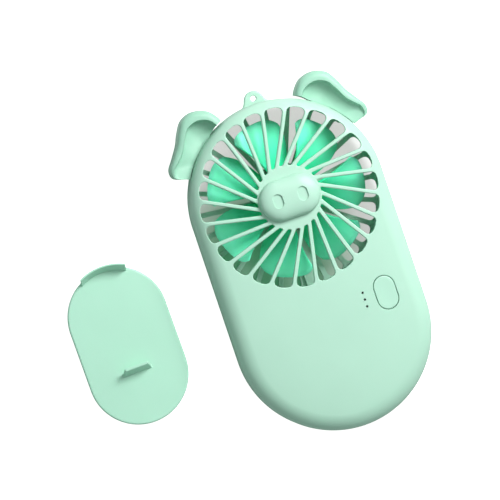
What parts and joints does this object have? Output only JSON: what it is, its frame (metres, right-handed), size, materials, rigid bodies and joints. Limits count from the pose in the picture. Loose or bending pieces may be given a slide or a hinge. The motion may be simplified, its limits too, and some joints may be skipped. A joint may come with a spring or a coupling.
{
  "type": "handheld electric fan",
  "caption": "Pocket electric fan with a round-ended body, ribbed grille, animal ears and snout, push button, rechargeable cell, and a loose stand plate beside it.",
  "frame": {"origin": "where the impeller's axis meets the back plane of the fan, which lies on its back", "axes": "+Z out of the front grille along the impeller's axis, +Y towards the lanyard loop, +X to the right as seen from the front"},
  "size_m": [0.1286, 0.1288, 0.026],
  "materials": {
    "shell": "satin mint moulded plastic",
    "shell_back": "satin mint moulded plastic",
    "ears": "satin mint moulded plastic",
    "button": "satin mint moulded plastic",
    "stand": "satin mint moulded plastic",
    "blades": "translucent green moulded plastic",
    "black_plastic": "matt",
    "smoked_plastic": "smoked clear plastic",
    "led": "clear over yellow",
    "board": "green solder mask",
    "ferrite": "sintered",
    "steel": "plated",
    "screw_steel": "zinc plated",
    "core_steel": "laminated",
    "cell_wrap": "foil pouch",
    "foam": "adhesive foam",
    "lead_red": "wire insulation",
    "lead_black": "wire insulation",
    "brass": "turned",
    "bronze": "sintered",
    "copper_wire": "enamelled wire"
  },
  "bodies": {
    "housing": {"front_cover": "shell", "rear_cover": "shell_back", "snout_cap": "shell", "ear_left": "ears", "ear_right": "ears", "tact_switch": "black_plastic", "light_guide": "smoked_plastic", "status_leds": "led", "circuit_board": "board", "control_chip": "black_plastic", "inductor": "ferrite", "usb_socket": "steel", "usb_tongue": "black_plastic", "board_screws": "screw_steel", "cover_screws": "screw_steel", "battery_cell": "cell_wrap", "battery_pad": "foam", "battery_lead_red": "lead_red", "battery_lead_black": "lead_black", "motor_lead_red": "lead_red", "motor_lead_black": "lead_black", "wire_channel": "shell_back", "motor_board": "board", "bearing_tube": "brass", "sleeve_bearing": "bronze", "stator_core": "core_steel", "stator_windings": "copper_wire"},
    "rotor": {"impeller": "blades", "rotor_cup": "steel", "magnet_ring": "ferrite", "motor_shaft": "steel", "retaining_clip": "steel"},
    "button": {"power_button": "button", "switch_plunger": "black_plastic"},
    "stand": {"stand_plate": "stand"}
  },
  "joints": [
    {"name": "impeller_spin", "type": "hinge", "parent": "housing", "child": "rotor", "pos_m": [0, 0, 0.006], "axis": [0, 0, 1], "continuous": true},
    {"name": "button_press", "type": "slide", "parent": "housing", "child": "button", "axis": [0, 0, -1], "range_m": [0, 0.00045], "stiffness_N_per_m": 2000},
    {"name": "stand_lift", "type": "slide", "parent": "housing", "child": "stand", "axis": [0, 0, 1], "range_m": [0, 0.06]}
  ]
}
